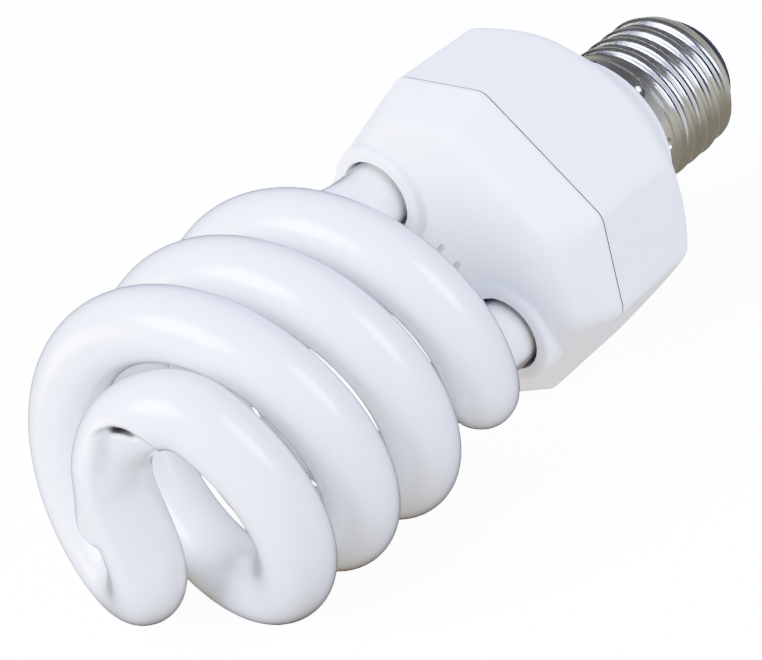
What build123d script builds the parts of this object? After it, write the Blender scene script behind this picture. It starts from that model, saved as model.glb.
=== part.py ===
from build123d import *
import os
from math import atan2, cos, pi, radians, sin, sqrt, tan

os.makedirs("parts", exist_ok=True)

# All sizes are in millimetres and degrees. The lamp is drawn upright: its axis is Z, its centre contact
# stands at Z = 0, and the two legs of the spiral lie on the X axis. At the end it is laid on its side.

# Glass spiral, heights measured from the parting plane of the housing
tube_diameter = 12.0
coil_radius = 23.4          # axis to the middle of the tube
coil_pitch = 29.6           # rise of one strand in a full turn
coil_start_angle = 34.0     # where a leg has turned into the coil
coil_end_angle = 612.0      # where the coil turns in towards the bridge
coil_base_height = 26.5     # height of the coil at angle 0
turn_in_angle = 646.3       # sharpest part of the turn
turn_in_radius = 21.4
turn_in_lift = 0.6          # above the coil
turn_in_heading = 35.5      # towards the axis
turn_in_climb = 19.6
bridge_height = 84.7        # middle of the tube where it crosses the axis
bridge_angle = -35.4        # direction of the straight stretch across the axis
bridge_half_length = 2.9
leg_spacing = 30.6          # between the middles of the two legs
leg_straight_height = 14.5  # top of the straight part of a leg
leg_length = 15.0           # straight part of a leg
pinch_length = 4.0          # flat pressed end of each leg
pinch_width = 8.4
pinch_thickness = 2.6
coil_spans_per_turn = 6     # pairs of arcs that follow one turn

# Housing, an octagon with four long and four short sides
flat_half = 26.3            # axis to a long side, at the parting plane
cut_half = 28.3             # axis to a short side, at the parting plane
corner_round = 3.2
cover_wall = 2.2
rear_length = 33.0          # neck rim to parting plane
rear_draft = 1.15
chamfer_depth = 21.5        # parting plane to the conical end, in the middle of a long side
chamfer_angle = 45.0
neck_radius = 15.2
neck_height = 1.5
neck_round = 0.4
ledge_depth = 8.0           # parting plane to the step that the board rests on
ledge_width = 1.4
plug_length = 7.6           # neck that reaches into the cap
plug_wall = 1.7
front_height = 8.6          # parting plane to front face
front_rim = 0.8             # straight edge above the parting plane
front_lean = 24.0           # slope of the front cover's sides
front_corner_round = 7.5    # corners of the front face
front_round = 4.0
seam_gap = 0.25             # shadow line between the covers
seam_depth = 1.6
lip_wall = 1.3
lip_clearance = 0.15
collar_gap = 0.7            # round the tube
collar_wall = 2.2
collar_height = 1.7         # above the front face
collar_round = 0.8
collar_foot = 0.8           # soft corner where a collar meets the face
sleeve_wall = 1.5           # round the tube inside the cover
sleeve_depth = 6.8          # below the front face
cement_height = 3.0
vent_width = 1.1            # two shallow marks between the collars
vent_length = 4.4
vent_spacing = 3.8
vent_depth = 0.6

# Screw cap, heights measured from the centre contact
cap_length = 26.6           # contact to neck rim
thread_crest_radius = 13.2
thread_depth = 1.1
thread_pitch = 3.629        # seven threads to the inch
thread_crest_round = 0.98   # round crests and roots of the rolled wave
thread_root_round = 0.92
thread_base_height = 6.6    # height of the crest at angle 0
thread_start_angle = -72.0
thread_turns = 4.3
thread_root_turns = 3.8     # groove between the crests
thread_fade_turns = 0.35    # part of a turn in which crest and groove run out
thread_spans_per_turn = 6
shell_wall = 0.5
shell_end_height = 4.8
shell_end_radius = 11.9     # the shell draws in below the first crest
shell_end_round = 1.0
shell_end_lip = 1.6
skirt_radius = 13.3
skirt_length = 3.4
skirt_slope_height = 1.2
dent_count = 8
dent_radius = 2.0
dent_depth = 0.4
dent_height = 25.0
cap_fit = 0.05
insulator_top = 8.0
insulator_bulge = 10.1      # radius of the insulator halfway down its rounded end
contact_radius = 5.2
contact_thickness = 0.6
contact_round = 0.4
contact_margin = 0.7        # flat ring of insulator round the contact

# Circuit board and what stands on its underside
board_thickness = 1.6
board_clearance = 0.25
part_gap = 1.0              # free space between neighbours
lead_radius = 0.35
lead_depth = 0.5            # lead inside the body it belongs to
lead_clearance = 0.1
lead_stub = 1.0             # lead that shows beyond the board
solder_width = 0.4          # foot of a soldered joint, beyond its wire
solder_height = 0.7
lead_bend = 0.8
lead_reach = 1.3            # from the end of a lying body to its bent lead
smoothing_radius = 5.0
smoothing_length = 20.0
smoothing_round = 0.6
choke_width = 16.0
choke_depth = 12.0
choke_height = 13.0
choke_leg = 4.0             # ferrite limbs
winding_margin = 0.4
toroid_radius = 5.0
toroid_bore = 2.6
toroid_height = 4.6
toroid_round = 0.5
film_width = 5.0
film_length = 12.5
film_height = 10.0
film_offset = 2.0
film_round = 0.8
transistor_width = 7.8
transistor_thickness = 2.7
transistor_height = 10.8
transistor_standoff = 1.5
transistor_pitch = 2.3
filter_radius = 3.5
filter_waist = 2.7
filter_flange = 1.2
filter_height = 9.0
fuse_radius = 1.8
fuse_length = 6.4
diode_radius = 1.35
diode_length = 5.2
resistor_radius = 1.15
resistor_length = 6.3
trigger_radius = 0.95
trigger_length = 4.0
wire_radius = 0.6
wire_clearance = 0.15
wire_bend = 3.0
live_rise = 21.0            # straight stretch of the live wire above the contact
live_slant = 8.0
neutral_height = 13.0
post_side = 0.8
post_height = 3.2
post_reach = 5.4            # from the middle of a leg
lamp_wire_radius = 0.2
lamp_wire_spacing = 5.0
lamp_wire_height = 1.3      # above the board
lamp_wire_bend = 0.4

# Heights and sizes that follow from the above
neck_z = cap_length
parting_z = neck_z + rear_length
front_z = parting_z + front_height
ledge_z = parting_z - ledge_depth
board_top_z = ledge_z + board_thickness
tube_radius = tube_diameter / 2
leg_x = leg_spacing / 2
hole_radius = tube_radius + collar_gap
collar_radius = hole_radius + collar_wall
root_radius = thread_crest_radius - thread_depth
thread_middle_radius = thread_crest_radius - thread_depth / 2
shell_bore = root_radius - shell_wall
skirt_bore = skirt_radius - shell_wall
plug_radius = shell_bore - cap_fit
plug_bore = plug_radius - plug_wall
wire_x = smoothing_radius + part_gap + wire_radius
turned = Rotation(0, 0, 180)


def octagon_corners(inset, z):
    half = flat_half - inset
    cut = 2 * half - sqrt(2) * (cut_half - inset)
    side = half - cut
    corners = [(half, side), (side, half), (-side, half), (-half, side)]
    corners += [(-x, -y) for x, y in corners]
    return [Vector(x, y, z) for x, y in corners]


def octagon(inset, z, rounding=corner_round):
    outline = make_face(Polyline(*octagon_corners(inset, z), close=True))
    return fillet(outline.vertices(), rounding)


def octagon_block(inset, bottom, top):
    return extrude(octagon(inset, bottom), amount=top - bottom, dir=(0, 0, 1))


def octagon_frustum(low_inset, low_z, high_inset, high_z):
    # flat-sided and sharp-edged, for sides with draft
    low = octagon_corners(low_inset, low_z)
    high = octagon_corners(high_inset, high_z)
    faces = [Face(Wire.make_polygon(low)), Face(Wire.make_polygon(high))]
    for here in range(len(low)):
        before = here - 1
        faces.append(Face(Wire.make_polygon([low[before], low[here], high[here], high[before]])))
    return Solid(Shell(faces))


def turned_body(*corners):
    outline = make_face(Polyline(*[(radius, 0, z) for radius, z in corners], close=True))
    return revolve(outline, Axis.Z)


def ring(outer, inner, bottom, top):
    band = Circle(outer) - Circle(inner)
    return Pos(0, 0, bottom) * extrude(band, amount=top - bottom)


def rod(radius, x, y, bottom, top):
    return Pos(x, y, bottom) * extrude(Circle(radius), amount=top - bottom)


def box_on_board(width, depth, height, x, y, round_edge):
    block = Pos(x, y, ledge_z - height / 2) * Box(width, depth, height)
    return fillet(block.edges().filter_by(Axis.Z), round_edge)


def solder(radius, x, y):
    cone = Cone(radius + solder_width, radius, solder_height)
    return Pos(x, y, board_top_z + solder_height / 2) * cone


def wire_along(points, radius, bend):
    path = FilletPolyline(*points, radius=bend)
    return sweep(Plane(origin=path @ 0, z_dir=path % 0) * Circle(radius), path=path)


# Tubes that follow a curve in space, as a chain of tangent arcs


def arc_from(start, heading, end):
    chord = end - start
    side = (chord - heading * chord.dot(heading)).normalized()
    radius = chord.dot(chord) / (2 * chord.dot(side))
    half_turn = atan2(chord.dot(side), chord.dot(heading))
    middle = start + (heading * sin(half_turn) + side * (1 - cos(half_turn))) * radius
    return ThreePointArc(start, middle, end)


def arc_pair(start, end):
    chord = end[0] - start[0]
    bend = 2 * (1 - start[1].dot(end[1]))
    along = chord.dot(start[1] + end[1])
    reach = (sqrt(along**2 + bend * chord.dot(chord)) - along) / bend
    joint = (start[0] + end[0] + (start[1] - end[1]) * reach) * 0.5
    first = arc_from(start[0], start[1], joint)
    return [first, arc_from(joint, first % 1, end[0])]


def helix_station(angle, radius, radius_slope, height, pitch):
    rise = pitch / (2 * pi)
    place = Vector(radius * cos(angle), radius * sin(angle), height + rise * angle)
    outward = Vector(cos(angle), sin(angle), 0)
    onward = Vector(-sin(angle), cos(angle), 0)
    heading = outward * radius_slope + onward * radius + Vector(0, 0, rise)
    return place, heading.normalized()


def tube_through(stations, radius):
    edges = []
    for start, end in zip(stations, stations[1:]):
        straight = (start[1] - end[1]).length < 1e-9
        edges += [Line(start[0], end[0])] if straight else arc_pair(start, end)
    place, heading = stations[0]
    return sweep(Plane(origin=place, z_dir=heading) * Circle(radius), path=Wire(edges))


# Glass


def spiral_tube():
    leg_top = Vector(leg_x, 0, parting_z + leg_straight_height)
    up = Vector(0, 0, 1)
    strand = [(leg_top - up * leg_length, up), (leg_top, up)]
    span = coil_end_angle - coil_start_angle
    steps = round(span / 360 * coil_spans_per_turn)
    for step in range(steps + 1):
        angle = radians(coil_start_angle + span * step / steps)
        height = parting_z + coil_base_height
        strand.append(helix_station(angle, coil_radius, 0, height, coil_pitch))
    strand.append(turn_in())
    across = Vector(cos(radians(bridge_angle)), sin(radians(bridge_angle)), 0)
    bridge_middle = Vector(0, 0, parting_z + bridge_height)
    strand.append((bridge_middle + across * bridge_half_length, -across))
    back = [(turn_half(place), -turn_half(heading)) for place, heading in reversed(strand)]
    glass = tube_through(strand + back, tube_radius)
    pinch = Pos(leg_x, 0, leg_end_z - pinch_length / 2) * Box(pinch_thickness, pinch_width, pinch_length)
    pinch = fillet(pinch.edges().filter_by(Axis.Z), pinch_thickness / 3)
    return glass + pinch + turned * pinch


def turn_in():
    angle = radians(turn_in_angle)
    lift = parting_z + coil_base_height + turn_in_lift
    place = helix_station(angle, turn_in_radius, 0, lift, coil_pitch)[0]
    inward = Vector(-cos(angle), -sin(angle), 0)
    onward = Vector(-sin(angle), cos(angle), 0)
    level = onward * cos(radians(turn_in_heading)) + inward * sin(radians(turn_in_heading))
    heading = level * cos(radians(turn_in_climb)) + Vector(0, 0, sin(radians(turn_in_climb)))
    return place, heading


def turn_half(vector):
    return Vector(-vector.X, -vector.Y, vector.Z)


leg_end_z = parting_z + leg_straight_height - leg_length
pinch_end_z = leg_end_z - pinch_length


# Housing


def chamfer_cone(shift, bottom, top):
    # radius of the cone grows with height; shift moves its face inwards
    slope = tan(radians(chamfer_angle))
    reference_z = parting_z - chamfer_depth
    flat = flat_half - chamfer_depth * tan(radians(rear_draft)) - shift / cos(radians(chamfer_angle))
    low = flat + (bottom - reference_z) * slope
    high = flat + (top - reference_z) * slope
    return Rotation(0, 0, 45) * turned_body((0, bottom), (low, bottom), (high, top), (0, top))


def rear_cover():
    shoulder_z = neck_z + neck_height
    draft_inset = rear_length * tan(radians(rear_draft))
    body = octagon_frustum(draft_inset, neck_z, 0, parting_z)
    body &= chamfer_cone(0, shoulder_z, parting_z)
    upright = [edge for edge in body.edges().filter_by(GeomType.LINE) if abs((edge % 0.5).Z) > 0.9]
    cone = body.faces().filter_by(GeomType.CONE).sort_by(SortBy.AREA)[-1]
    rims = [edge for edge in cone.edges() if edge.geom_type in (GeomType.HYPERBOLA, GeomType.BSPLINE)]
    body = body.fillet(corner_round, upright + rims)
    neck = rod(neck_radius, 0, 0, neck_z, shoulder_z)
    neck = fillet(neck.edges().group_by(Axis.Z)[0], neck_round)
    cavity_z = shoulder_z + cover_wall
    cavity = octagon_block(cover_wall + ledge_width, cavity_z, ledge_z)
    cavity &= chamfer_cone(cover_wall, cavity_z, parting_z)
    pocket = octagon_block(cover_wall, ledge_z, parting_z)
    skirt_plug_z = neck_z - skirt_length
    plug = rod(plug_radius, 0, 0, neck_z - plug_length, neck_z)
    plug += rod(skirt_bore - cap_fit, 0, 0, skirt_plug_z, neck_z)
    bore = rod(plug_bore, 0, 0, neck_z - plug_length, cavity_z)
    return body + neck + plug - cavity - pocket - bore


def front_cover():
    lean_inset = (front_height - front_rim) * tan(radians(front_lean))
    rim = octagon_block(0, parting_z, parting_z + front_rim)
    base = octagon(0, parting_z + front_rim)
    face = octagon(lean_inset, front_z, front_corner_round)
    body = rim + loft([base, face], ruled=True)
    body = fillet(body.edges().group_by(Axis.Z)[-1], front_round)
    roof_z = front_z - cover_wall
    sleeve_z = front_z - sleeve_depth
    collar = rod(collar_radius, leg_x, 0, sleeve_z, front_z + collar_height)
    collar = fillet(collar.edges().group_by(Axis.Z)[-1], collar_round)
    body += collar + turned * collar
    body = body.fillet(collar_foot, [edge for edge in body.edges() if round_collar(edge)])
    lip_inset = cover_wall + lip_clearance
    seam = octagon_block(-seam_depth, parting_z, parting_z + seam_gap)
    seam -= octagon_block(seam_depth, parting_z, parting_z + seam_gap)
    lip = octagon_block(lip_inset, board_top_z, parting_z)
    hollow_inset = lip_inset + lip_wall
    hollow_base = octagon(hollow_inset, parting_z)
    hollow_face = octagon(max(hollow_inset, lean_inset + cover_wall), roof_z)
    hollow = loft([hollow_base, hollow_face], ruled=True)
    hollow += octagon_block(hollow_inset, board_top_z, parting_z)
    cover = body + lip - seam - hollow
    sleeve = rod(hole_radius + sleeve_wall, leg_x, 0, sleeve_z, front_z)
    cover += sleeve + turned * sleeve
    hole = rod(hole_radius, leg_x, 0, sleeve_z, front_z + collar_height)
    cover -= hole + turned * hole
    for side in (-1, 1):
        slot = SlotOverall(vent_length, vent_width, rotation=90)
        cover -= Pos(side * vent_spacing / 2, 0, front_z - vent_depth) * extrude(slot, amount=vent_depth)
    return cover


def round_collar(edge):
    # true for the lines where a collar meets the front cover's outside
    for share in (0.1, 0.5, 0.9):
        place = edge @ share
        off_axis = sqrt((abs(place.X) - leg_x)**2 + place.Y**2)
        if abs(off_axis - collar_radius) > 1e-3 or place.Z > front_z + 1e-3:
            return False
    return True


def tube_cement():
    bottom = front_z - sleeve_depth
    return Pos(leg_x, 0, 0) * ring(hole_radius, tube_radius, bottom, bottom + cement_height)


# Screw cap


def thread_roll(spine, rounding, run_out, height, turns):
    # a round bar wound round the cap; at both ends its spine leaves the radius by run_out
    fade = 2 * pi * thread_fade_turns
    total = 2 * pi * turns
    steps = round(turns * thread_spans_per_turn)
    stations = []
    for step in range(steps + 1):
        along = total * step / steps
        near_end = min(along, total - along)
        share = max(0, 1 - near_end / fade)
        slope = 2 * run_out * share / fade * (-1 if along < total / 2 else 1)
        radius = spine + run_out * share**2
        angle = radians(thread_start_angle) + along
        stations.append(helix_station(angle, radius, slope, height, thread_pitch))
    return tube_through(stations, rounding)


def thread_crest():
    spine = thread_crest_radius - thread_crest_round
    return thread_roll(spine, thread_crest_round, -2 * thread_crest_round, thread_base_height, thread_turns)


def thread_groove():
    spine = root_radius + thread_root_round
    height = thread_base_height + thread_pitch / 2
    return thread_roll(spine, thread_root_round, 2 * thread_root_round, height, thread_root_turns)


def screw_shell():
    slope_top = neck_z - skirt_length
    slope_bottom = slope_top - skirt_slope_height
    end_top = shell_end_height + shell_wall
    shell = turned_body(
        (root_radius - shell_end_lip, shell_end_height),
        (shell_end_radius, shell_end_height),
        (thread_middle_radius, thread_base_height),
        (thread_middle_radius, slope_bottom),
        (skirt_radius, slope_top),
        (skirt_radius, neck_z),
        (skirt_bore, neck_z),
        (skirt_bore, slope_top),
        (shell_bore, slope_bottom),
        (shell_bore, end_top),
        (root_radius - shell_end_lip, end_top),
    )
    rim = shell.edges().group_by(Axis.Z)[0].sort_by(SortBy.LENGTH)[-1]
    shell = fillet(rim, shell_end_round)
    core = rod(root_radius - shell_wall / 2, 0, 0, 0, neck_z)
    shell += thread_crest() - core
    shell -= thread_groove()
    dent = Pos(skirt_radius + dent_radius - dent_depth, 0, dent_height) * Sphere(dent_radius)
    for step in range(dent_count):
        shell -= Rotation(0, 0, 360 * step / dent_count) * dent
    return shell


def cap_insulator():
    lip_radius = root_radius - shell_end_lip - cap_fit
    flat_radius = contact_radius + contact_margin
    bulge_z = (contact_thickness + shell_end_height) / 2
    seat_z = shell_end_height + shell_wall
    side = shell_bore - cap_fit
    rounded = ThreePointArc(
        (flat_radius, 0, contact_thickness),
        (insulator_bulge, 0, bulge_z),
        (lip_radius, 0, shell_end_height),
    )
    rest = Polyline(
        (lip_radius, 0, shell_end_height),
        (lip_radius, 0, seat_z),
        (side, 0, seat_z),
        (side, 0, insulator_top),
        (wire_radius + wire_clearance, 0, insulator_top),
        (wire_radius + wire_clearance, 0, contact_thickness),
        (flat_radius, 0, contact_thickness),
    )
    return revolve(make_face([rounded, *rest.edges()]), Axis.Z)


def centre_contact():
    disc = rod(contact_radius, 0, 0, 0, contact_thickness)
    return fillet(disc.edges().group_by(Axis.Z)[0], contact_round)


# Ballast: each maker gives the solid and the places of its leads on the board


def standing(body, places, depth):
    # depth is how far below the board the leads begin
    for x, y in places:
        body += rod(lead_radius, x, y, ledge_z - depth, board_top_z + lead_stub)
        body += solder(lead_radius, x, y)
    return body, places


def lying(radius, length, x, y, along_x):
    # a round body that touches the board, with a bent lead at each end
    middle_z = ledge_z - radius
    reach = length / 2 + lead_reach
    lead = wire_along(
        [(length / 2, 0, middle_z), (reach, 0, middle_z), (reach, 0, board_top_z + lead_stub)],
        lead_radius,
        min(lead_bend, lead_reach / 2),
    )
    body = Pos(0, 0, middle_z) * Rotation(0, 90, 0) * Cylinder(radius, length)
    lead += solder(lead_radius, reach, 0)
    piece = body + lead + turned * lead
    places = [(x + reach, y), (x - reach, y)]
    if not along_x:
        piece = Rotation(0, 0, 90) * piece
        places = [(x, y + reach), (x, y - reach)]
    return Pos(x, y, 0) * piece, places


def smoothing_capacitor():
    can = rod(smoothing_radius, 0, 0, ledge_z - smoothing_length, ledge_z)
    can = fillet(can.edges().filter_by(GeomType.CIRCLE), smoothing_round)
    return standing(can, [(smoothing_radius / 2, 0), (-smoothing_radius / 2, 0)], lead_depth)


choke_y = smoothing_radius + part_gap + choke_depth / 2


def choke_core():
    middle_z = ledge_z - choke_height / 2
    frame = Pos(0, choke_y, middle_z) * Box(choke_width, choke_leg, choke_height)
    window = Pos(0, choke_y, middle_z) * Box(choke_width - choke_leg, choke_leg, choke_height - choke_leg)
    limb = Pos(0, choke_y, middle_z) * Box(choke_leg, choke_leg, choke_height - choke_leg)
    return frame - window + limb


def choke_winding():
    middle_z = ledge_z - choke_height / 2
    width = choke_width - choke_leg - 2 * winding_margin
    height = choke_height - choke_leg - 2 * winding_margin
    bore = choke_leg + 2 * winding_margin
    coil = Pos(0, choke_y, middle_z) * Box(width, choke_depth, height)
    coil = fillet(coil.edges().filter_by(Axis.Z), winding_margin * 4)
    coil -= Pos(0, choke_y, middle_z) * Box(bore, bore, height)
    foot = choke_depth / 2 - winding_margin * 4 - lead_radius
    places = [(side * width / 4, choke_y + end * foot) for side in (-1, 1) for end in (-1, 1)]
    return standing(coil, places, choke_height / 2)


toroid_y = -(smoothing_radius + part_gap + toroid_radius)


def feedback_toroid():
    core = Pos(0, toroid_y, 0) * ring(toroid_radius, toroid_bore, ledge_z - toroid_height, ledge_z)
    return fillet(core.edges().filter_by(GeomType.CIRCLE), toroid_round)


film_x = wire_x + wire_radius + part_gap + film_width / 2


def film_capacitor(side):
    x = side * film_x
    body = box_on_board(film_width, film_length, film_height, x, film_offset, film_round)
    reach = film_length / 2 - film_round - lead_radius
    return standing(body, [(x, film_offset + reach), (x, film_offset - reach)], lead_depth)


transistor_x = toroid_radius + part_gap + transistor_width / 2
transistor_y = film_offset - film_length / 2 - part_gap - transistor_thickness / 2


def transistor(side):
    x = side * transistor_x
    middle_z = ledge_z - transistor_standoff - transistor_height / 2
    body = Pos(x, transistor_y, middle_z) * Box(transistor_width, transistor_thickness, transistor_height)
    places = [(x + step * transistor_pitch, transistor_y) for step in (-1, 0, 1)]
    return standing(body, places, transistor_standoff + lead_depth)


under_y = transistor_y - transistor_thickness / 2 - part_gap


def filter_choke():
    bottom = ledge_z - filter_height
    x = toroid_radius + part_gap + filter_radius
    y = under_y - 2 * resistor_radius - part_gap - filter_radius
    drum = turned_body(
        (0, bottom),
        (filter_radius, bottom),
        (filter_radius, bottom + filter_flange),
        (filter_waist, bottom + filter_flange),
        (filter_waist, ledge_z - filter_flange),
        (filter_radius, ledge_z - filter_flange),
        (filter_radius, ledge_z),
        (0, ledge_z),
    )
    reach = filter_waist - lead_radius
    return standing(Pos(x, y, 0) * drum, [(x + reach, y), (x - reach, y)], lead_depth)


def lying_parts():
    reach = lead_reach + lead_radius
    side_x = film_x + film_width / 2 + part_gap + diode_radius
    diode_step = diode_length / 2 + reach + part_gap / 2
    fuse_x = toroid_radius + part_gap + fuse_length / 2 + reach
    choke_side = choke_width / 2 + part_gap + resistor_radius
    beyond_film = film_offset + film_length / 2 + part_gap + resistor_length / 2 + reach
    beside_toroid = toroid_radius + part_gap + resistor_length / 2 + reach
    beyond_fuse = under_y - 2 * fuse_radius - part_gap - resistor_radius
    parts = {
        "fusible_resistor": lying(fuse_radius, fuse_length, -fuse_x, under_y - fuse_radius, True),
        "trigger_diode": lying(
            trigger_radius, trigger_length, 0, toroid_y - toroid_radius - part_gap - trigger_radius, True
        ),
        "resistor_1": lying(resistor_radius, resistor_length, -choke_side, beyond_film, False),
        "resistor_2": lying(resistor_radius, resistor_length, choke_side, beyond_film, False),
        "resistor_3": lying(resistor_radius, resistor_length, -fuse_x, beyond_fuse, True),
        "resistor_4": lying(resistor_radius, resistor_length, beside_toroid, under_y - resistor_radius, True),
    }
    for index, (side, end) in enumerate([(-1, -1), (-1, 1), (1, -1), (1, 1)], start=1):
        y = film_offset + end * diode_step
        parts[f"diode_{index}"] = lying(diode_radius, diode_length, side * side_x, y, False)
    return parts


# Wires and posts


post_x = leg_x + post_reach
lamp_places = [(side, end) for side in (-1, 1) for end in (-1, 1)]


def wire_post(side, end):
    bottom = ledge_z - lead_stub
    height = board_top_z + post_height - bottom
    y = end * lamp_wire_spacing / 2
    post = Pos(side * post_x, y, bottom + height / 2) * Box(post_side, post_side, height)
    return post + solder(post_side / sqrt(2), side * post_x, y)


def lamp_lead(side, end):
    y = end * lamp_wire_spacing / 2
    z = board_top_z + lamp_wire_height
    face_x = post_x - post_side / 2
    points = [(side * leg_x, y, pinch_end_z), (side * leg_x, y, z), (side * face_x, y, z)]
    return wire_along(points, lamp_wire_radius, lamp_wire_bend)


def live_wire():
    points = [
        (0, 0, contact_thickness),
        (0, 0, contact_thickness + live_rise),
        (wire_x, 0, contact_thickness + live_rise + live_slant),
        (wire_x, 0, board_top_z + lead_stub),
    ]
    return wire_along(points, wire_radius, wire_bend) + solder(wire_radius, wire_x, 0)


def neutral_wire():
    shell_x = sqrt(shell_bore**2 - wire_radius**2)
    points = [
        (-shell_x, 0, neutral_height),
        (-wire_x, 0, neutral_height),
        (-wire_x, 0, board_top_z + lead_stub),
    ]
    return wire_along(points, wire_radius, wire_bend) + solder(wire_radius, -wire_x, 0)


def circuit_board(lead_places):
    board = octagon_block(cover_wall + board_clearance, ledge_z, board_top_z)
    for x, y in lead_places:
        board -= rod(lead_radius + lead_clearance, x, y, ledge_z, board_top_z)
    for x in (-wire_x, wire_x):
        board -= rod(wire_radius + wire_clearance, x, 0, ledge_z, board_top_z)
    slot = post_side + 2 * lead_clearance
    for side, end in lamp_places:
        place = Pos(side * post_x, end * lamp_wire_spacing / 2, ledge_z + board_thickness / 2)
        board -= place * Box(slot, slot, board_thickness)
    return board


# The whole lamp


def all_parts():
    parts = {
        "spiral_tube": spiral_tube(),
        "front_cover": front_cover(),
        "rear_cover": rear_cover(),
        "screw_shell": screw_shell(),
        "cap_insulator": cap_insulator(),
        "centre_contact": centre_contact(),
        "tube_cement_1": tube_cement(),
        "tube_cement_2": turned * tube_cement(),
        "choke_core": choke_core(),
        "feedback_toroid": feedback_toroid(),
        "live_wire": live_wire(),
        "neutral_wire": neutral_wire(),
    }
    for index, (side, end) in enumerate(lamp_places, start=1):
        parts[f"wire_post_{index}"] = wire_post(side, end)
        parts[f"lamp_lead_{index}"] = lamp_lead(side, end)
    leaded = {
        "smoothing_capacitor": smoothing_capacitor(),
        "choke_winding": choke_winding(),
        "resonance_capacitor": film_capacitor(-1),
        "coupling_capacitor": film_capacitor(1),
        "transistor_1": transistor(-1),
        "transistor_2": transistor(1),
        "filter_choke": filter_choke(),
        **lying_parts(),
    }
    lead_places = []
    for name, (body, places) in leaded.items():
        parts[name] = body
        lead_places += places
    parts["circuit_board"] = circuit_board(lead_places)
    return parts


# Laid on its side: the axis points along +X, and a short side of the housing faces down
laid_down = Plane(origin=(0, 0, 0), x_dir=(0, 1, -1), z_dir=(1, 0, 0)).location

for name, shape in all_parts().items():
    export_step(laid_down * shape, f"parts/{name}.step")
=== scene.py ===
import bpy
from math import atan2, cos, exp, pi, radians, sin, sqrt
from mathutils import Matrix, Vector


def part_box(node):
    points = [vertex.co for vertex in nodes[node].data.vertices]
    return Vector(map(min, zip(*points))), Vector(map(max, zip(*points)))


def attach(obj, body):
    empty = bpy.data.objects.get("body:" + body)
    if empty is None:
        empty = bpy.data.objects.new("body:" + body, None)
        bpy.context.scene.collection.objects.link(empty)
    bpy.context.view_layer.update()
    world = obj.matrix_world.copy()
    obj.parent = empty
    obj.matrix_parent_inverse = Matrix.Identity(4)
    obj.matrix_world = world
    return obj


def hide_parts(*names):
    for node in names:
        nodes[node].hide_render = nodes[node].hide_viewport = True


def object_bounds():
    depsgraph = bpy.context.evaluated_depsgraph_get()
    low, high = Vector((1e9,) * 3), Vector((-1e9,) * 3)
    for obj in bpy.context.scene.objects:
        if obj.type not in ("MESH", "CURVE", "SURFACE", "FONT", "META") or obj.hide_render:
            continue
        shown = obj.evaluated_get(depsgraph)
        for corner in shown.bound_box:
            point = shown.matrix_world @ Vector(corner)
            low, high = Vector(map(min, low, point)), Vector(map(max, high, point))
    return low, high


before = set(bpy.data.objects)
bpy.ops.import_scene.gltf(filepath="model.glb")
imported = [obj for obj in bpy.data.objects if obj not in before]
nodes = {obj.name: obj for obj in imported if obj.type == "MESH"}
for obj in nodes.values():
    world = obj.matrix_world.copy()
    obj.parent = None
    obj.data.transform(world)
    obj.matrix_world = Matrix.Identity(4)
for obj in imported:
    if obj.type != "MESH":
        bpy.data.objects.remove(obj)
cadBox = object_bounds()
print("frame loaded:", len(nodes), "nodes")


# shader maths: a Socket wraps one output, so finishes read as plain expressions
class Socket:
    def __init__(self, finish, link):
        self.finish = finish
        self.link = link

    def math(self, operation, first, second):
        return self.finish.node("ShaderNodeMath", {"operation": operation}, {0: first, 1: second})

    def __add__(self, other):
        return self.math("ADD", self, other)

    def __radd__(self, other):
        return self.math("ADD", other, self)

    def __sub__(self, other):
        return self.math("SUBTRACT", self, other)

    def __rsub__(self, other):
        return self.math("SUBTRACT", other, self)

    def __mul__(self, other):
        return self.math("MULTIPLY", self, other)

    def __rmul__(self, other):
        return self.math("MULTIPLY", other, self)

    def __pow__(self, other):
        return self.math("POWER", self, other)


def tint(colour):
    return colour if isinstance(colour, Socket) else (*colour, 1)


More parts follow.
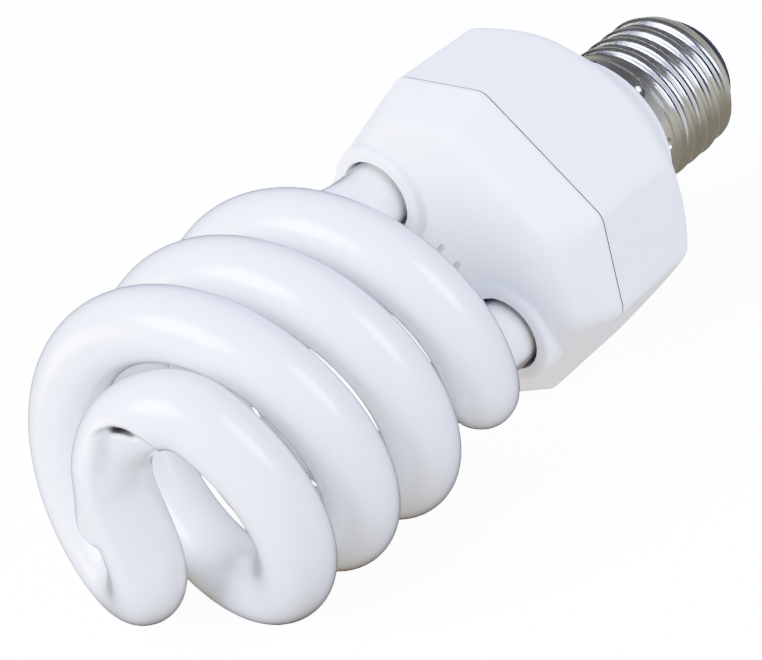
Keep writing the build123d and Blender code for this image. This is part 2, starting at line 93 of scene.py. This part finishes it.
# one material and its nodes
class Finish:
    def __init__(self, name):
        self.material = bpy.data.materials.new(name)
        self.material.use_nodes = True
        self.tree = self.material.node_tree
        self.skin = self.tree.nodes["Principled BSDF"]

    def node(self, kind, settings=None, inputs=None, output=0):
        node = self.tree.nodes.new(kind)
        for key, value in (settings or {}).items():
            setattr(node, key, value)
        for key, value in (inputs or {}).items():
            self.feed(node.inputs[key], value)
        return Socket(self, node.outputs[output])

    def feed(self, socket, value):
        if isinstance(value, Socket):
            self.tree.links.new(value.link, socket)
        else:
            socket.default_value = value

    def dress(self, inputs):
        for key, value in inputs.items():
            self.feed(self.skin.inputs[key], value)

    def cover(self, share, shader):
        # lays another shader over the skin
        under = Socket(self, self.skin.outputs[0])
        mixed = self.node("ShaderNodeMixShader", None, {0: share, 1: under, 2: shader})
        self.feed(self.tree.nodes["Material Output"].inputs["Surface"], mixed)

    def place(self):
        return self.node("ShaderNodeTexCoord", output="Object")

    def axes(self):
        spot = self.place()
        return [self.node("ShaderNodeSeparateXYZ", None, {0: spot}, axis) for axis in "XYZ"]

    def measure(self, vector, way):
        # how far a vector reaches in a fixed direction
        return self.node("ShaderNodeVectorMath", {"operation": "DOT_PRODUCT"}, {0: vector, 1: way}, "Value")

    def noise(self, scale, detail, where=None):
        inputs = {"Vector": where or self.place(), "Scale": scale, "Detail": detail}
        return self.node("ShaderNodeTexNoise", None, inputs)

    def stretched(self, scale):
        return self.node("ShaderNodeMapping", None, {"Vector": self.place(), "Scale": scale})

    def fade(self, value, start, end):
        inputs = {"Value": value, "From Min": start, "From Max": end}
        return self.node("ShaderNodeMapRange", {"interpolation_type": "SMOOTHSTEP"}, inputs)

    def window(self, value, ends):
        # one between the inner two of four ends, nothing beyond the outer two
        a, b, c, d = ends
        return self.fade(value, a, b) * (1 - self.fade(value, c, d))

    def blend(self, share, first, second):
        inputs = {0: share, 6: tint(first), 7: tint(second)}
        return self.node("ShaderNodeMix", {"data_type": "RGBA"}, inputs, output=2)

    def bump(self, height, strength, distance):
        inputs = {"Height": height, "Strength": strength, "Distance": distance}
        return self.node("ShaderNodeBump", None, inputs)


def wear(name, finish):
    target = nodes[name]
    target.data.materials.clear()
    target.data.materials.append(finish.material)


# glass spiral: its line in the lamp's own axes, with the legs apart along x and the lamp's axis along z
spiral = dict(
    tube=0.00599, coil=0.0234,  # radii of the tube and of its line
    pitch=0.0296, base=0.0265, begin=34, end=612,  # rise a turn, height at no turn, first and last degree
    turnIn=dict(angle=646.3, radius=0.0214, lift=0.0006, heading=35.5, climb=19.6),
    bridge=dict(height=0.0847, angle=-35.4, half=0.0029),
    legReach=0.0153, legTop=0.0145, legLength=0.015, parting=0.0596,
    pinch=dict(length=0.004, half=(0.0013, 0.0042), squareness=6, run=0.0012, steps=(1, 0.6, 0.25)),
    around=96, step=0.0012, fineStep=0.0003,
)
zAxis = Vector((0, 0, 1))


def smooth(value, start, end):
    share = min(1, max(0, (value - start) / (end - start)))
    return share * share * (3 - 2 * share)


def spin(angle):
    return Vector((cos(angle), sin(angle), 0)), Vector((-sin(angle), cos(angle), 0))


def coilStation(degrees, radius, lift=0.0):
    out, on = spin(radians(degrees))
    climb = spiral["pitch"] / (2 * pi)
    place = out * radius + zAxis * (spiral["base"] + lift + climb * radians(degrees))
    return place, (on * radius + zAxis * climb).normalized()


def turnInStation():
    t = spiral["turnIn"]
    place = coilStation(t["angle"], t["radius"], t["lift"])[0]
    out, on = spin(radians(t["angle"]))
    level = on * cos(radians(t["heading"])) - out * sin(radians(t["heading"]))
    return place, level * cos(radians(t["climb"])) + zAxis * sin(radians(t["climb"]))


def arcPoints(start, heading, end, step):
    chord = end - start
    side = (chord - heading * chord.dot(heading)).normalized()
    radius = chord.length_squared / (2 * chord.dot(side))
    turn = 2 * atan2(chord.dot(side), chord.dot(heading))
    count = max(2, round(radius * turn / step))
    for k in range(1, count + 1):
        w = turn * k / count
        yield start + (heading * sin(w) + side * (1 - cos(w))) * radius


def arcPair(start, end, step):
    # two arcs that meet smoothly, between two places with their headings
    chord = end[0] - start[0]
    bend = 2 * (1 - start[1].dot(end[1]))
    along = chord.dot(start[1] + end[1])
    reach = (sqrt(along**2 + bend * chord.length_squared) - along) / bend
    joint = (start[0] + end[0] + (start[1] - end[1]) * reach) / 2
    back = list(arcPoints(end[0], -end[1], joint, step))
    return list(arcPoints(start[0], start[1], joint, step)) + back[-2::-1] + [end[0]]


def halfLine():
    # one leg, its strand and the way in to the middle of the bridge
    top = Vector((spiral["legReach"], 0, spiral["legTop"]))
    rows = round(spiral["legLength"] / spiral["step"])
    line = [top - zAxis * spiral["legLength"] * (1 - k / rows) for k in range(rows + 1)]
    begin, end = spiral["begin"], spiral["end"]
    line += arcPair((top, zAxis), coilStation(begin, spiral["coil"]), spiral["step"])
    rows = round(radians(end - begin) * spiral["coil"] / spiral["step"])
    for k in range(1, rows + 1):
        last = coilStation(begin + (end - begin) * k / rows, spiral["coil"])
        line.append(last[0])
    b = spiral["bridge"]
    across = spin(radians(b["angle"]))[0]
    middle = zAxis * b["height"]
    sharp = turnInStation()
    line += arcPair(last, sharp, spiral["fineStep"])
    line += arcPair(sharp, (middle + across * b["half"], -across), spiral["fineStep"])
    rows = round(b["half"] / spiral["fineStep"])
    line += [middle + across * b["half"] * (1 - k / rows) for k in range(1, rows + 1)]
    return line


def toFrame(p):
    return Vector((p.z + spiral["parting"], (p.x + p.y) / sqrt(2), (p.y - p.x) / sqrt(2)))


def pinchReach(direction):
    # outline of the flat pressed end, as a distance from its middle
    a, b = spiral["pinch"]["half"]
    n = spiral["pinch"]["squareness"]
    return ((abs(direction.x) / a) ** n + (abs(direction.y) / b) ** n) ** (-1 / n)


def tubeRings():
    half = halfLine()
    line = half + [Vector((-p.x, -p.y, p.z)) for p in reversed(half[:-1])]
    flat = spiral["pinch"]
    tail = [flat["length"]] + [flat["run"] * share for share in flat["steps"]]
    line = [line[0] - zAxis * t for t in tail] + line + [line[-1] - zAxis * t for t in reversed(tail)]
    count = len(line)
    u, ahead = Vector((1, 0, 0)), None
    for k, p in enumerate(line):
        onward = (line[min(k + 1, count - 1)] - line[max(k - 1, 0)]).normalized()
        if ahead:
            u = ahead.rotation_difference(onward) @ u
        u = (u - onward * u.dot(onward)).normalized()
        v = onward.cross(u)
        ahead = onward
        fromEnd = min(k, count - 1 - k)
        full = smooth(tail[fromEnd], flat["run"], 0) if fromEnd < len(tail) else 1
        ring = []
        for s in range(spiral["around"]):
            w = 2 * pi * s / spiral["around"]
            d = u * cos(w) + v * sin(w)
            reach = spiral["tube"]
            if full < 1:
                reach = pinchReach(d) * (1 - full) + reach * full
            ring.append(p + d * reach)
        yield p, ring


# hand-bent tip: the arc folds over the bridge in a crease, and the bend's outer side swells into a lobe
tip = dict(
    middle=(0.14233, 0.00353, 0.01557), reach=(-0.016, 0.026), margin=0.00002,
    right=(-0.640, 0.734, -0.227), down=(0.513, 0.187, -0.838), toward=(0.648, 0.577, 0.497),
    fold=dict(
        peak=(-0.0019, -0.0003), left=166.0, right=71.4, sides=(-0.0052, -0.0016),
        depth=0.0026, lip=0.0006, run=(0.002, 0.011), facing=(-0.1, 0.3),
    ),
    slot=dict(below=0.0007, half=0.0005, depth=0.0055, ends=(-0.0024, -0.0014, 0.0008, 0.0020)),
    flat=dict(facing=(0.40, 0.86, 0.19), cap=0.0036, soft=0.0009, along=(-0.015, -0.004)),
    lobe=dict(
        low=(0.14517, -0.00240, -0.00005), lowRadius=0.0055,
        high=(0.14387, -0.00020, 0.00917), highRadius=0.00599, soft=0.00020, balls=16,
    ),
)


def belowCrease(point):
    # place along the crease, and how far below it
    off = point - Vector(tip["middle"])
    u, v = off.dot(Vector(tip["right"])), off.dot(Vector(tip["down"]))
    fold = tip["fold"]
    fromPeak = u - fold["peak"][0]
    return u, v - fold["peak"][1] - fromPeak**2 * fold["right" if fromPeak > 0 else "left"]


def foldDepth(out, u, below):
    fold, slot = tip["fold"], tip["slot"]
    facing = smooth(out.dot(Vector(tip["toward"])), *fold["facing"])
    face = smooth(below, 0, fold["lip"]) * (1 - smooth(below, *fold["run"])) * smooth(u, *fold["sides"])
    a, b, c, d = slot["ends"]
    groove = exp(-(((below - slot["below"]) / slot["half"]) ** 2))
    groove = groove * smooth(u, a, b) * (1 - smooth(u, c, d))
    return facing * (fold["depth"] * face + slot["depth"] * groove)


def flattened(away, below, fromMiddle):
    # the bridge's face is pressed flat where it passes under the arc
    flat = tip["flat"]
    facing = Vector(flat["facing"]).normalized()
    over = away.dot(facing) - flat["cap"]
    press = (over + sqrt(over**2 + flat["soft"] ** 2)) / 2
    return facing * press * smooth(below, 0, tip["fold"]["lip"]) * smooth(fromMiddle, *flat["along"])


def lobeReach(centre, out):
    # the lobe is a row of balls from its low end to its high end
    lobe = tip["lobe"]
    low, high = Vector(lobe["low"]), Vector(lobe["high"])
    best = 0
    for k in range(lobe["balls"] + 1):
        share = k / lobe["balls"]
        radius = lobe["lowRadius"] + (lobe["highRadius"] - lobe["lowRadius"]) * share
        toBall = low.lerp(high, share) - centre
        along = toBall.dot(out)
        aside = toBall.length_squared - along**2
        if aside < radius**2:
            best = max(best, along + sqrt(radius**2 - aside))
    return best


def sculpted(point, centre, fromMiddle):
    if not tip["reach"][0] < fromMiddle < tip["reach"][1]:
        return point
    out = point - centre
    size = out.length
    out.normalize()
    proud = lobeReach(centre, out) - size
    soft = tip["lobe"]["soft"]
    swell = (proud + sqrt(proud**2 + soft**2)) / 2 - soft**2 / 4 / size
    u, below = belowCrease(point)
    moved = point + out * max(0, swell) - flattened(out * size, below, fromMiddle)
    moved -= Vector(tip["toward"]) * foldDepth(out, u, below)
    moved.x = min(moved.x, cadBox[1][0] - tip["margin"])
    return moved


def meshPiece(name, points, faces, finish, node):
    mesh = bpy.data.meshes.new(name)
    mesh.from_pydata(points, [], faces)
    mesh.update()
    mesh.shade_smooth()
    piece = bpy.data.objects.new(name, mesh)
    bpy.context.collection.objects.link(piece)
    mesh.materials.append(finish.material)
    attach(piece, "root")
    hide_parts(node)


def buildTube(finish):
    points, faces = [], []
    around = spiral["around"]
    rings = list(tubeRings())
    along = [0]
    for (before, _), (here, _) in zip(rings, rings[1:]):
        along.append(along[-1] + (here - before).length)
    for row, (middle, ring) in enumerate(rings):
        centre = toFrame(middle)
        for p in ring:
            points.append(sculpted(toFrame(p), centre, along[row] - along[-1] / 2))
        if row:
            low = (row - 1) * around
            for s in range(around):
                t = (s + 1) % around
                faces.append((low + s, low + t, low + around + t, low + around + s))
    faces.append(list(reversed(range(around))))
    faces.append(list(range(len(points) - around, len(points))))
    meshPiece("glassSpiral", points, faces, finish, "spiral_tube")


# phosphor behind clear glass; a noise is given by its scale and detail
glass = dict(
    white=(0.86, 0.875, 0.80), shade=(0.82, 0.835, 0.755),
    cloud=(60.0, 4.0), powder=(900.0, 3.0), powderShare=0.25,
    rough=0.45, powderRough=0.10, specular=0.2, coatRough=0.23, coatIor=2.0,
    # the edge colour is painted shade, mixed in at the tube's edges for the clear glass wall; stronger on
    # the legs
    rim=(0.12, 0.10, 0.075), rimRough=0.5, rimShare=1.9, rimPower=4, rimBlend=0.5,
    legs=(0.072, 0.080), legRim=3.0,  # the legs' rims are stronger
    # the leg ends' colour: bare glass, darkened further as painted shade from the collars
    legEnds=(0.0702, 0.0724), bare=(0.34, 0.31, 0.19),
    # painted shade colour for the fold's slot and crease line, and how deep the paint reaches
    creaseShade=(0.34, 0.28, 0.14), creaseShadeDepth=(-0.0105, -0.0095), slotCore=0.5,
    crease=dict(half=(0.00010, 0.00028), ends=(0.0004, 0.0012, 0.0050, 0.0070), share=0.75),
)


def paintedCreaseShade(f):
    # painted shade: the slot and the line that runs on from it along the fold are painted dark, as the shade
    # in the fold
    off = f.node("ShaderNodeVectorMath", {"operation": "SUBTRACT"}, {0: f.place(), 1: tip["middle"]})
    u, v, near = [f.measure(off, tip[axis]) for axis in ("right", "down", "toward")]
    fold, slot, crease = tip["fold"], tip["slot"], glass["crease"]
    fromPeak = u - fold["peak"][0]
    onRight = f.node("ShaderNodeMath", {"operation": "GREATER_THAN"}, {0: fromPeak, 1: 0.0})
    curve = fold["left"] + onRight * (fold["right"] - fold["left"])
    below = v - fold["peak"][1] - fromPeak * fromPeak * curve
    inSlot = below - slot["below"]
    core = glass["slotCore"] * slot["half"]
    hole = (1 - f.fade(inSlot * inSlot, core**2, slot["half"] ** 2)) * f.window(u, slot["ends"])
    inner, outer = crease["half"]
    line = (1 - f.fade(below * below, inner**2, outer**2)) * f.window(u, crease["ends"])
    return (hole + crease["share"] * line) * f.fade(near, *glass["creaseShadeDepth"])


def glassFinish():
    f = Finish("phosphorGlass")
    cloud = f.noise(*glass["cloud"])
    powder = f.noise(*glass["powder"])
    mottle = (1 - glass["powderShare"]) * cloud + glass["powderShare"] * powder
    coat = f.blend(mottle, glass["shade"], glass["white"])
    # darker where the legs enter the collars: the coat thins out to bare glass there, and the same dark also
    # paints the shade that the collars cast on the legs
    x = f.axes()[0]
    coat = f.blend(f.fade(x, *glass["legEnds"]), glass["bare"], coat)
    f.dress({
        # the fold's slot and crease line are painted with shade
        "Base Color": f.blend(paintedCreaseShade(f), coat, glass["creaseShade"]),
        "Roughness": glass["rough"] + glass["powderRough"] * powder,
        "Specular IOR Level": glass["specular"],
        "Coat Weight": 1.0,
        "Coat Roughness": glass["coatRough"],
        "Coat IOR": glass["coatIor"],
    })
    # painted shade at the tube's edges: a dark coat is mixed in where the surface turns away from view,
    # standing in for the clear glass wall
    wallShade = f.node("ShaderNodeBsdfPrincipled", None, {
        "Base Color": tint(glass["rim"]),
        "Roughness": glass["rimRough"],
        "Specular IOR Level": glass["specular"],
    })
    slant = f.node("ShaderNodeLayerWeight", None, {"Blend": glass["rimBlend"]}, "Facing")
    share = glass["rimShare"] + glass["legRim"] * (1 - f.fade(x, *glass["legs"]))
    f.cover(share * slant ** glass["rimPower"], wallShade)
    return f


buildTube(glassFinish())
print("glass done")

# moulded housing; relief is a bump's strength and distance
plastic = dict(
    light=(0.90, 0.90, 0.82), dark=(0.85, 0.85, 0.77), mottle=(35.0, 4.0),
    rough=0.40, mottleRough=0.08, grain=(2600.0, 2.0), relief=(0.15, 0.00002),
    # painted shade colour for the parting groove between the covers
    seam=(0.05951, 0.05955, 0.05989, 0.05993), seamShade=(0.19, 0.14, 0.06),
    # painted shade colour for the two recessed marks between the collars
    ventTop=(0.06808, 0.06816), ventReach=(0.0058, 0.0062), ventShade=(0.60, 0.60, 0.50),
)


def plasticFinish():
    f = Finish("mouldedWhite")
    mottle = f.noise(*plastic["mottle"])
    grain = f.noise(*plastic["grain"])
    x, y, z = f.axes()
    # painted shade along the parting groove between the two covers
    seam = f.window(x, plastic["seam"])
    # painted shade in the two recessed marks between the collars
    middle = 1 - f.fade((y * y + z * z) ** 0.5, *plastic["ventReach"])
    vent = middle * (1 - f.fade(x, *plastic["ventTop"]))
    white = f.blend(mottle, plastic["dark"], plastic["light"])
    f.dress({
        "Base Color": f.blend(seam, f.blend(vent, white, plastic["ventShade"]), plastic["seamShade"]),
        "Roughness": plastic["rough"] + plastic["mottleRough"] * mottle,
        "Normal": f.bump(grain, *plastic["relief"]),
    })
    return f


housing = plasticFinish()
for name in ("front_cover", "rear_cover"):
    wear(name, housing)
print("housing done")

# screw cap and the black glass at its end
nickel = dict(
    bright=(0.79, 0.75, 0.63), dull=(0.61, 0.58, 0.47), smear=(160.0, 5.0),
    drawn=(1.0, 3.0), stretch=(30.0, 700.0, 700.0), relief=(0.12, 0.00002),
    rough=0.13, smearRough=0.08, drawnRough=0.05,
)
blackGlass = dict(
    deep=(0.004, 0.004, 0.005), pale=(0.012, 0.012, 0.013), speck=(400.0, 4.0),
    rough=0.35, speckRough=0.15, specular=0.25,
)


def nickelFinish():
    f = Finish("nickelPlate")
    smear = f.noise(*nickel["smear"])
    drawn = f.noise(*nickel["drawn"], f.stretched(nickel["stretch"]))
    f.dress({
        "Base Color": f.blend(smear, nickel["dull"], nickel["bright"]),
        "Roughness": nickel["rough"] + nickel["smearRough"] * smear + nickel["drawnRough"] * drawn,
        "Metallic": 1.0,
        "Normal": f.bump(drawn, *nickel["relief"]),
    })
    return f


def blackGlassFinish():
    f = Finish("blackGlass")
    speck = f.noise(*blackGlass["speck"])
    f.dress({
        "Base Color": f.blend(speck, blackGlass["deep"], blackGlass["pale"]),
        "Roughness": blackGlass["rough"] + blackGlass["speckRough"] * speck,
        "Specular IOR Level": blackGlass["specular"],
    })
    return f


wear("screw_shell", nickelFinish())
wear("cap_insulator", blackGlassFinish())
print("cap done")

# inner parts: a body colour with grain, bare tinned leads beyond the board's face, painted bands
innerParts = dict(
    boardFace=(0.0515, 0.0517), tin=(0.62, 0.62, 0.60), tinPolish=0.12,
    detail=5.0, speckRough=0.14, bump=0.3, relief=0.00005,
    bandWidth=0.05, bandEdge=0.006,
    leanBack=("fusible_resistor", "trigger_diode", "resistor_3", "resistor_4"),
)
partLooks = {
    "centre_contact": dict(
        light=(0.72, 0.70, 0.64), dark=(0.50, 0.48, 0.42), rough=0.26, grain=500.0, metal=1.0,
    ),
    "tube_cement": dict(
        light=(0.72, 0.68, 0.58), dark=(0.54, 0.50, 0.41), rough=0.80, grain=900.0, relief=0.0004,
    ),
    "circuit_board": dict(
        light=(0.46, 0.31, 0.14), dark=(0.33, 0.21, 0.09), rough=0.55, grain=1500.0,
    ),
    "smoothing_capacitor": dict(
        light=(0.020, 0.030, 0.075), dark=(0.010, 0.014, 0.040), rough=0.30, grain=120.0, leads=True,
    ),
    "choke_core": dict(
        light=(0.060, 0.058, 0.056), dark=(0.028, 0.027, 0.026), rough=0.62, grain=1600.0, relief=0.0002,
    ),
    "choke_winding": dict(
        light=(0.62, 0.24, 0.08), dark=(0.34, 0.10, 0.03), rough=0.32, grain=300.0, leads=True, turns=2400.0,
    ),
    "feedback_toroid": dict(
        light=(0.05, 0.24, 0.12), dark=(0.02, 0.13, 0.06), rough=0.34, grain=420.0,
    ),
    "resonance_capacitor": dict(
        light=(0.50, 0.10, 0.05), dark=(0.34, 0.05, 0.03), rough=0.36, grain=260.0, leads=True,
    ),
    "coupling_capacitor": dict(
        light=(0.52, 0.13, 0.05), dark=(0.36, 0.07, 0.03), rough=0.36, grain=260.0, leads=True,
    ),
    "transistor": dict(
        light=(0.030, 0.030, 0.030), dark=(0.012, 0.012, 0.012), rough=0.55, grain=2200.0, leads=True,
    ),
    "filter_choke": dict(
        light=(0.50, 0.20, 0.07), dark=(0.10, 0.06, 0.04), rough=0.45, grain=700.0, leads=True, turns=1800.0,
    ),
    "wire_post": dict(
        light=(0.70, 0.69, 0.66), dark=(0.48, 0.47, 0.44), rough=0.30, grain=1400.0, metal=1.0,
    ),
    "lamp_lead": dict(
        light=(0.66, 0.64, 0.60), dark=(0.44, 0.42, 0.39), rough=0.28, grain=1800.0, metal=1.0,
    ),
    "live_wire": dict(
        light=(0.42, 0.03, 0.03), dark=(0.30, 0.02, 0.02), rough=0.42, grain=380.0, leads=True,
    ),
    "neutral_wire": dict(
        light=(0.70, 0.70, 0.68), dark=(0.58, 0.58, 0.56), rough=0.42, grain=380.0, leads=True,
    ),
    "fusible_resistor": dict(
        light=(0.12, 0.30, 0.26), dark=(0.07, 0.21, 0.18), rough=0.40, grain=600.0, leads=True,
        bands=[(0.30, (0.30, 0.04, 0.02)), (0.42, (0.02, 0.02, 0.02)), (0.62, (0.45, 0.30, 0.06))],
    ),
    "diode": dict(
        light=(0.035, 0.035, 0.035), dark=(0.015, 0.015, 0.015), rough=0.45, grain=900.0, leads=True,
        bands=[(0.62, (0.60, 0.60, 0.60))],
    ),
    "resistor": dict(
        light=(0.60, 0.46, 0.27), dark=(0.48, 0.35, 0.19), rough=0.42, grain=500.0, leads=True,
        bands=[
            (0.34, (0.35, 0.16, 0.02)), (0.43, (0.02, 0.02, 0.02)),
            (0.52, (0.45, 0.30, 0.02)), (0.64, (0.50, 0.36, 0.10)),
        ],
    ),
    "trigger_diode": dict(
        light=(0.05, 0.12, 0.34), dark=(0.03, 0.07, 0.22), rough=0.22, grain=300.0, leads=True,
        bands=[(0.47, (0.03, 0.03, 0.03))],
    ),
}


def paintBands(f, colour, name, bands):
    # the body lies square to the lamp's axis and half a right angle to y and z; along goes from 0 to 1
    low, high = (Vector(corner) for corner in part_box(name))
    middle = (low + high) / 2
    y, z = f.axes()[1:]
    lean = 1 if name in innerParts["leanBack"] else -1
    along = ((y - middle.y) - lean * (z - middle.z)) * (0.5 / (high.y - low.y)) + 0.5
    edge = innerParts["bandEdge"]
    for start, paint in bands:
        end = start + innerParts["bandWidth"]
        colour = f.blend(f.window(along, (start, start + edge, end, end + edge)), colour, paint)
    return colour


def innerFinish(name, look):
    f = Finish(name)
    speck = f.noise(look["grain"], innerParts["detail"])
    relief = speck
    colour = f.blend(speck, look["dark"], look["light"])
    rough = look["rough"] + innerParts["speckRough"] * speck
    metal = look.get("metal", 0.0)
    x = f.axes()[0]
    if "turns" in look:
        relief = f.node("ShaderNodeMath", {"operation": "SINE"}, {0: x * (look["turns"] * 2 * pi)})
        # painted shade: the hollows between the winding's turns are painted darker
        colour = f.blend(0.5 + 0.5 * relief, look["dark"], colour)
    if "bands" in look:
        colour = paintBands(f, colour, name, look["bands"])
    if "leads" in look:
        bare = f.fade(x, *innerParts["boardFace"])
        colour = f.blend(bare, colour, innerParts["tin"])
        rough = rough - innerParts["tinPolish"] * bare
        metal = bare
    f.dress({
        "Base Color": colour,
        "Roughness": rough,
        "Metallic": metal,
        "Normal": f.bump(relief, innerParts["bump"], look.get("relief", innerParts["relief"])),
    })
    return f


for name in nodes:
    kind = name.rstrip("0123456789").rstrip("_")
    look = partLooks.get(name) or partLooks.get(kind)
    if look:
        wear(name, innerFinish(name, look))
print("inner parts done")

# pale floor that shows to the camera alone
stage = dict(
    pale=(0.95, 0.95, 0.95), rough=0.8, glow=(1, 1, 1), glowStrength=11.0,
    size=4.0, middle=0.07, gap=0.0002,
)


def layFloor():
    place = (stage["middle"], 0, cadBox[0][2] - stage["gap"])
    bpy.ops.mesh.primitive_plane_add(size=stage["size"], location=place)
    floor = bpy.context.object
    floor.name = "floor"
    f = Finish("paleFloor")
    f.dress({
        "Base Color": tint(stage["pale"]),
        "Roughness": stage["rough"],
        "Emission Color": tint(stage["glow"]),
        "Emission Strength": stage["glowStrength"],
    })
    floor.data.materials.append(f.material)
    floor.visible_diffuse = False
    floor.visible_glossy = False


layFloor()

lights = {
    "softLeft": dict(azimuth=-8, elevation=36, wide=0.70, high=0.54, watts=86, colour=(0.49, 0.58, 1.0)),
    "softRight": dict(azimuth=103, elevation=24, wide=0.34, high=0.60, watts=31, colour=(0.49, 0.58, 1.0)),
    "lowFront": dict(azimuth=-45, elevation=2, wide=0.60, high=0.40, watts=18, colour=(1.0, 0.93, 0.86)),
}
lightDistance = 0.9
lampMiddle = Vector((0.085, 0, 0))


def addLight(name, azimuth, elevation, wide, high, watts, colour):
    data = bpy.data.lights.new(name, "AREA")
    data.shape = "ELLIPSE"
    data.size = wide
    data.size_y = high
    data.energy = watts
    data.color = colour
    light = bpy.data.objects.new(name, data)
    a, e = radians(azimuth), radians(elevation)
    away = Vector((cos(e) * cos(a), cos(e) * sin(a), sin(e)))
    light.location = lampMiddle + away * lightDistance
    light.rotation_euler = away.to_track_quat("Z", "Y").to_euler()
    bpy.context.collection.objects.link(light)


for name, settings in lights.items():
    addLight(name, **settings)

# the room: bright for soft light, while a glossy surface mirrors a dimmer one with two dark sides
room = dict(
    soft=dict(low=(1.60, 1.46, 1.06), high=(0.90, 1.10, 3.10), rise=(-0.5, 0.5)),
    mirrored=dict(
        under=(0.29, 0.29, 0.26), low=(0.80, 0.82, 0.78), floorRise=(-0.75, -0.10),
        high=(0.42, 0.43, 0.42), top=(0.12, 0.12, 0.12), wallRise=(0.15, 0.80),
        horizon=(-0.06, 0.06), dark=(0.03, 0.03, 0.03),
    ),
    darkSides=[
        dict(way=(0.70, 0.62, 0.35), span=(0.55, 0.92)),
        dict(way=(0.46, -0.88, 0.10), span=(0.60, 0.90)),
    ],
)


class Room(Finish):
    def __init__(self, name):
        self.world = bpy.data.worlds.new(name)
        self.world.use_nodes = True
        self.tree = self.world.node_tree
        self.skin = self.tree.nodes["Background"]


def lightRoom():
    f = Room("studio")
    soft, mirrored = room["soft"], room["mirrored"]
    way = f.node("ShaderNodeTexCoord", output="Generated")
    rise = f.node("ShaderNodeSeparateXYZ", None, {0: way}, "Z")
    lit = f.blend(f.fade(rise, *soft["rise"]), soft["low"], soft["high"])
    floor = f.blend(f.fade(rise, *mirrored["floorRise"]), mirrored["under"], mirrored["low"])
    walls = f.blend(f.fade(rise, *mirrored["wallRise"]), mirrored["high"], mirrored["top"])
    seen = f.blend(f.fade(rise, *mirrored["horizon"]), floor, walls)
    for side in room["darkSides"]:
        seen = f.blend(f.fade(f.measure(way, side["way"]), *side["span"]), seen, mirrored["dark"])
    glossy = f.node("ShaderNodeLightPath", output="Is Glossy Ray")
    f.dress({"Color": f.blend(glossy, lit, seen), "Strength": 1.0})
    bpy.context.scene.world = f.world


lightRoom()

# the camera of the photograph
view = dict(place=(0.39406, 0.35113, 0.26452), turn=(59.341, 13.146, 131.043), lens=158.88, sensor=36)
camera = bpy.data.objects.new("camera", bpy.data.cameras.new("camera"))
camera.location = view["place"]
camera.rotation_euler = [radians(angle) for angle in view["turn"]]
camera.data.lens = view["lens"]
camera.data.sensor_width = view["sensor"]
bpy.context.collection.objects.link(camera)
bpy.context.scene.camera = camera
print("stage done")
